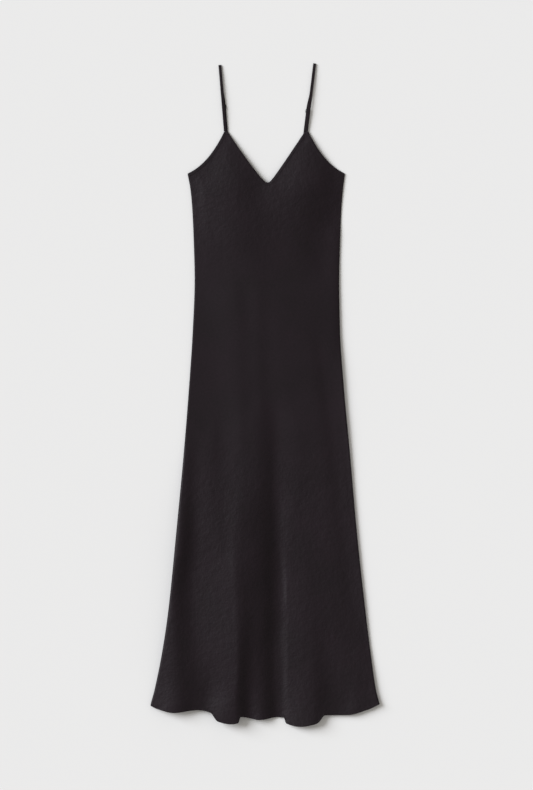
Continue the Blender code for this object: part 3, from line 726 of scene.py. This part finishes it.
def band_profile(width, thickness, steps=20, power=0.45, groove=0.22, groove_width=0.0008):
    """A flat band's section, as (across, out): a superellipse with a shallow groove along each face."""
    angle = np.arange(steps) * 2.0 * math.pi / steps
    across = 0.5 * width * np.sign(np.cos(angle)) * np.abs(np.cos(angle)) ** power
    out = 0.5 * thickness * np.sign(np.sin(angle)) * np.abs(np.sin(angle)) ** power
    out *= 1.0 - groove * np.exp(-((across / groove_width) ** 2))
    return across, out


def band_points(path, across, width, thickness):
    """A band's section carried along a path, with its width along one direction."""
    tangent = unit(np.gradient(path, axis=0))
    out = unit(np.cross(across, tangent))
    side, height = band_profile(width, thickness)
    points = path[:, None] + side[None, :, None] * across + height[None, :, None] * out[:, None]
    return faced_out(points)


def rounded_rectangle(half_width, half_length, corner, steps=6):
    """Closed outline of a rectangle whose corners are quarter circles."""
    quarter = np.linspace(0.0, 0.5 * math.pi, steps)
    signs = np.array([[1, 1], [-1, 1], [-1, -1], [1, -1]])
    centres = signs * [half_width - corner, half_length - corner]
    arcs = []
    for k, centre in enumerate(centres):
        turn = quarter + k * math.pi / 2
        arcs.append(centre + corner * np.stack([np.cos(turn), np.sin(turn)], axis=-1))
    return np.concatenate(arcs)


def wire(path, radius, closed, sides=10):
    """A round wire's points along a flat path: a circle in each plane across it."""
    if closed:
        tangent = unit(np.roll(path, -1, axis=0) - np.roll(path, 1, axis=0))
    else:
        tangent = unit(np.gradient(path, axis=0))
    up = np.array([0.0, 0.0, 1.0])
    side = unit(np.cross(tangent, up))
    turn = np.arange(sides) * 2.0 * math.pi / sides
    ring = radius * (np.cos(turn)[None, :, None] * side[:, None] + np.sin(turn)[None, :, None] * up)
    points = path[:, None] + ring
    if closed:
        points = np.concatenate([points, points[:1]])
    return faced_out(points)


def joined(name, meshes):
    """One mesh from several, with doubled points merged."""
    both = bmesh.new()
    for mesh in meshes:
        both.from_mesh(mesh)
        bpy.data.meshes.remove(mesh)
    bmesh.ops.remove_doubles(both, verts=both.verts, dist=1e-6)
    mesh = bpy.data.meshes.new(name)
    both.to_mesh(mesh)
    both.free()
    mesh.shade_smooth()
    return mesh


def bar_frame(name, length, bars, centre, strap, material, node):
    """A rounded frame of wire in the strap's plane, with straight bars across it."""
    radius = BAR / 2.0
    outline = rounded_rectangle(FRAME_WIDTH / 2.0 - radius, length / 2.0 - radius, FRAME_CORNER)
    turn = np.stack([strap.across[:2], -strap.down])

    def in_plane(flat):
        plan = centre + flat @ turn
        return np.concatenate([plan, np.full((len(plan), 1), FRAME_Z)], axis=1)

    rim = wire(in_plane(outline), radius, closed=True)
    parts = [grid_mesh(name + "_rim", rim, wrap_columns=True)]
    half = FRAME_WIDTH / 2.0 - BAR
    for bar in range(bars):
        ends = np.stack([np.linspace(-half - radius, half + radius, 5), np.zeros(5)], axis=-1)
        bar_points = wire(in_plane(ends), radius, closed=False)
        parts.append(grid_mesh(f"{name}_bar{bar}", bar_points, wrap_columns=True, caps=True))
    return place(name, joined(name, parts), material, [node])


# ---------------------------------------------------------------- finishes


def node_maker(material):
    """A function that adds a node with its values and its incoming links."""
    tree = material.node_tree

    def add(kind, values=(), links=(), **settings):
        node = tree.nodes.new(kind)
        for key, value in settings.items():
            setattr(node, key, value)
        for key, value in dict(values).items():
            node.inputs[key].default_value = value
        for key, socket in dict(links).items():
            tree.links.new(socket, node.inputs[key])
        return node

    return add


def new_material(name):
    """A new material with its shader and a function that adds nodes to it."""
    material = bpy.data.materials.new(name)
    material.use_nodes = True
    return material, material.node_tree.nodes["Principled BSDF"], node_maker(material)


# The crepe's noises. Columns: scale, detail, roughness.
CREPE_NOISES = {
    "pebble": (900.0, 2.0, 0.60),
    "nap": (210.0, 3.0, 0.60),
    "pucker": (70.0, 3.0, 0.60),
    "clouds": (9.0, 3.0, 0.55),
}
RIB_SCALE = (2600.0, 420.0, 1.0)
RIB_SHARE = 0.6            # of the pebble's height
PEBBLE_HEIGHT = 0.00012
NAP_HEIGHT = 0.0007
PUCKER_HEIGHT = 0.0022
CALM_Y = 0.10              # the calm part lies between waist and hip
CALM_RUN = (0.12, 0.33)    # distance from there up to which the cloth is calm, and from which it is not
CALM_SLACK = 0.12          # how much it puckers there, next to the skirt


def crepe(name, shade, light, rough, grain):
    """Black crepe: a pebbled grain of about a millimetre, a mottled nap of a few millimetres, puckers of
    one to three centimetres and slow clouds of tone, all even in every direction, with fine ribs that
    run lengthwise in the cloth's own map. The skirt and bodice pucker most, and the part between waist
    and hip least."""
    material, shader, add = new_material(name)
    where = add("ShaderNodeTexCoord").outputs["Object"]
    cloth = add("ShaderNodeUVMap", uv_map="cloth").outputs["UV"]

    def noise(key):
        values = dict(zip(("Scale", "Detail", "Roughness"), CREPE_NOISES[key]))
        return add("ShaderNodeTexNoise", values, {"Vector": where}).outputs["Fac"]

    def bump(height, distance, normal=None):
        links = {"Height": height, "Normal": normal} if normal else {"Height": height}
        values = {"Strength": grain, "Distance": distance}
        return add("ShaderNodeBump", values, links).outputs["Normal"]

    pebble, nap, pucker, clouds = (noise(key) for key in CREPE_NOISES)
    stretch = add("ShaderNodeMapping", {"Scale": RIB_SCALE}, {"Vector": cloth}).outputs["Vector"]
    ribs = add("ShaderNodeTexNoise", {"Scale": 1.0, "Detail": 1.0}, {"Vector": stretch})
    tone = add("ShaderNodeMath", links={0: nap, 1: clouds}, operation="ADD").outputs["Value"]
    span = add("ShaderNodeMapRange", {"From Min": 0.7, "From Max": 1.3}, {"Value": tone})
    colour = add(
        "ShaderNodeMix",
        {"A": (*shade, 1.0), "B": (*light, 1.0)},
        {"Factor": span.outputs["Result"]},
        data_type="RGBA",
    )
    gloss = add(
        "ShaderNodeMapRange",
        {"From Min": 0.3, "From Max": 0.7, "To Min": rough + 0.05, "To Max": rough - 0.05},
        {"Value": nap},
    )
    height = add("ShaderNodeSeparateXYZ", links={"Vector": where}).outputs["Y"]
    from_calm = add("ShaderNodeMath", {1: CALM_Y}, {0: height}, operation="SUBTRACT")
    from_calm = add("ShaderNodeMath", links={0: from_calm.outputs["Value"]}, operation="ABSOLUTE")
    slack = add(
        "ShaderNodeMapRange",
        {"From Min": CALM_RUN[0], "From Max": CALM_RUN[1], "To Min": CALM_SLACK, "To Max": 1.0},
        {"Value": from_calm.outputs["Value"]},
        interpolation_type="SMOOTHSTEP",
    )
    slack = slack.outputs["Result"]
    relief = add("ShaderNodeMath", {1: RIB_SHARE}, {0: ribs.outputs["Fac"]}, operation="MULTIPLY")
    relief = add("ShaderNodeMath", links={0: pebble, 1: relief.outputs["Value"]}, operation="ADD")
    slack_nap = add("ShaderNodeMath", links={0: nap, 1: slack}, operation="MULTIPLY")
    slack_pucker = add("ShaderNodeMath", links={0: pucker, 1: slack}, operation="MULTIPLY")
    normal = bump(relief.outputs["Value"], PEBBLE_HEIGHT)
    normal = bump(slack_nap.outputs["Value"], NAP_HEIGHT, normal)
    normal = bump(slack_pucker.outputs["Value"], PUCKER_HEIGHT, normal)
    tree = material.node_tree
    tree.links.new(colour.outputs["Result"], shader.inputs["Base Color"])
    tree.links.new(gloss.outputs["Result"], shader.inputs["Roughness"])
    tree.links.new(normal, shader.inputs["Normal"])
    shader.inputs["Specular IOR Level"].default_value = 0.20
    shader.inputs["Sheen Weight"].default_value = 0.05
    shader.inputs["Sheen Roughness"].default_value = 0.45
    return material


def enamel(name):
    """Black enamel: glossy, with faint rubbed patches."""
    material, shader, add = new_material(name)
    where = add("ShaderNodeTexCoord").outputs["Object"]
    rubbed = add("ShaderNodeTexNoise", {"Scale": 900.0, "Detail": 3.0}, {"Vector": where}).outputs["Fac"]
    gloss = add("ShaderNodeMapRange", {"To Min": 0.22, "To Max": 0.42}, {"Value": rubbed})
    colour = add(
        "ShaderNodeMix",
        {"A": (0.008, 0.008, 0.009, 1.0), "B": (0.016, 0.015, 0.016, 1.0)},
        {"Factor": rubbed},
        data_type="RGBA",
    )
    tree = material.node_tree
    tree.links.new(gloss.outputs["Result"], shader.inputs["Roughness"])
    tree.links.new(colour.outputs["Result"], shader.inputs["Base Color"])
    return material


def floor_finish(name):
    """A pale matt surface with a barely uneven tone."""
    material, shader, add = new_material(name)
    where = add("ShaderNodeTexCoord").outputs["Object"]
    uneven = add("ShaderNodeTexNoise", {"Scale": 3.0, "Detail": 2.0}, {"Vector": where})
    colour = add(
        "ShaderNodeMix",
        {"A": (0.797, 0.797, 0.797, 1.0), "B": (0.803, 0.803, 0.803, 1.0)},
        {"Factor": uneven.outputs["Fac"]},
        data_type="RGBA",
    )
    material.node_tree.links.new(colour.outputs["Result"], shader.inputs["Base Color"])
    shader.inputs["Roughness"].default_value = 1.0
    shader.inputs["Specular IOR Level"].default_value = 0.0
    return material


# ---------------------------------------------------------------- the dress


def rolled_sides(points, steps=6):
    """A panel's grid with columns added at both sides, which roll down to the back on a half ellipse
    as high as the edge itself."""
    turn = np.linspace(0.5 * math.pi, -0.45 * math.pi, steps + 1)[1:]

    def roll(edge, outward):
        x = edge[:, :, 0] + outward * SIDE_ROLL * np.cos(turn)
        z = edge[:, :, 2] * 0.5 * (1.0 + np.sin(turn))
        return np.stack(np.broadcast_arrays(x, edge[:, :, 1], z), axis=-1)

    left = roll(points[:, :1], -1.0)[:, ::-1]
    right = roll(points[:, -1:], 1.0)
    return np.concatenate([left, points, right], axis=1)


def build_binding(name, edge, inner, normals, material, replaced):
    """A binding with a row of stitches along its inner border."""
    mesh = grid_mesh(name, bound_edge(normals, edge, inner), wrap_columns=True, caps=True)
    piece = place(name, mesh, material, replaced)
    line = edge + (inner - edge) * BORDER_SHARE + normals * (BINDING_LIFT + STITCH_LIFT)
    return [piece, stitches(name + "_stitches", line, normals, thread_finish)]


def build_hem(name, panel, normals, rows, material):
    """A narrow rolled hem along a panel's first row, with its stitches."""
    points = bound_edge(normals[0], panel[0], panel[rows], lift=HEM_LIFT, roll=HEM_ROLL)
    piece = place(name, grid_mesh(name, points, wrap_columns=True, caps=True), material)
    line = panel[0] + (panel[rows] - panel[0]) * BORDER_SHARE + normals[0] * (HEM_LIFT + STITCH_LIFT)
    return [piece, stitches(name + "_stitches", line, normals[0], thread_finish)]


crepe_finish = crepe("black crepe", (0.0057, 0.0026, 0.0044), (0.0097, 0.0046, 0.0078), 0.60, 0.6)
trim_finish = crepe("black crepe binding", (0.0056, 0.0026, 0.0044), (0.0096, 0.0046, 0.0077), 0.60, 0.5)
thread_finish = crepe("black thread", (0.0060, 0.0029, 0.0047), (0.0100, 0.0052, 0.0082), 0.55, 0.0)
enamel_finish = enamel("black enamel")

front = front_points()
front_normals = grid_normals(front)
front_cloth = place(
    "front_cloth", grid_mesh("front_cloth", rolled_sides(front)), crepe_finish, ["front_panel"]
)
add_wall(front_cloth, CLOTH)
back = back_points()
back_normals = grid_normals(back)
back_cloth = place("back_cloth", grid_mesh("back_cloth", back), crepe_finish, ["back_panel"])
add_wall(back_cloth, CLOTH)

line_starts = np.cumsum([0] + [line[2] for line in GRID_LINES.values()])
column = dict(zip(GRID_LINES, line_starts))
left_middle = column["left apex, outer"] + GRID_LINES["left apex, outer"][2] // 2
right_middle = column["right apex, inner"] + GRID_LINES["right apex, inner"][2] // 2
upper = front[-1]
under = front[-1 - BINDING_ROWS]
runs = {
    "armhole_binding_left": slice(0, left_middle + 1),
    "neck_binding": slice(left_middle, right_middle + 1),
    "armhole_binding_right": slice(right_middle, None),
}
front_trim = []
for name, run in runs.items():
    front_trim += build_binding(
        name + "_band", upper[run], under[run], front_normals[-1, run], trim_finish, [name]
    )
front_trim += build_hem("front_hem", front, front_normals, HEM_BAND_ROWS, crepe_finish)
back_inner = back[-1 - BACK_BINDING_ROWS]
back_trim = build_binding(
    "back_binding_band", back[-1], back_inner, back_normals[-1], trim_finish, ["back_binding"]
)
back_trim += build_hem("back_hem", back, back_normals, 1, crepe_finish)

for side in STRAPS:
    strap = Strap(side)
    band = band_points(strap.path(), strap.across, STRAP_WIDTH, RIBBON)
    band_mesh = grid_mesh("strap", band, wrap_columns=True, caps=True)
    place(f"strap_{side}_band", band_mesh, trim_finish, [f"strap_{side}"])
    tab = band_points(strap.tab_path(), strap.across, STRAP_WIDTH, RIBBON)
    tab_mesh = grid_mesh("tab", tab, wrap_columns=True, caps=True)
    place(f"loop_tab_{side}_band", tab_mesh, trim_finish, [f"loop_tab_{side}"])
    for node, length, bars, along in (
        (f"slider_{side}", SLIDER_LENGTH, 1, strap.slider),
        (f"loop_{side}", LOOP_LENGTH, 0, strap.loop),
    ):
        centre = strap.plan(np.array(along), np.array(strap.peek))
        bar_frame(node + "_frame", length, bars, centre, strap, enamel_finish, node)

# ---------------------------------------------------------------- floor, light and camera

FLOOR_HALF = 9.0
FLOOR_DROP = 0.0002        # keeps the floor's plane apart from the back panel's underside
SUN_FROM = (-0.80, 0.36, 0.50)

floor_mesh = bpy.data.meshes.new("floor")
corners = [(x * FLOOR_HALF, y * FLOOR_HALF, 0.0) for x, y in ((-1, -1), (1, -1), (1, 1), (-1, 1))]
floor_mesh.from_pydata(corners, [], [(0, 1, 2, 3)])
floor_mesh.materials.append(floor_finish("pale floor"))
floor = bpy.data.objects.new("floor", floor_mesh)
floor.location.z = -FLOOR_DROP
bpy.context.scene.collection.objects.link(floor)

world = bpy.data.worlds.new("soft light")
world.use_nodes = True
world.node_tree.nodes["Background"].inputs["Color"].default_value = (1.0, 0.965, 0.905, 1.0)
world.node_tree.nodes["Background"].inputs["Strength"].default_value = 0.45
bpy.context.scene.world = world

sun_data = bpy.data.lights.new("window", "SUN")
sun_data.energy = 3.96
sun_data.color = (0.940, 0.960, 1.0)
sun_data.angle = math.radians(38.0)
sun = bpy.data.objects.new("window", sun_data)
sun.rotation_euler = Vector(SUN_FROM).to_track_quat("Z", "Y").to_euler()
bpy.context.scene.collection.objects.link(sun)

camera_data = bpy.data.cameras.new("camera")
camera_data.lens = 245.0
camera_data.sensor_width = 36.0
camera_data.sensor_fit = "VERTICAL"
camera_data.sensor_height = 36.0
camera_data.clip_end = 20.0
camera = bpy.data.objects.new("camera", camera_data)
camera.location = (0.0029, 0.0, 12.0)
bpy.context.scene.collection.objects.link(camera)
bpy.context.scene.camera = camera
bpy.context.scene.view_settings.view_transform = "Standard"
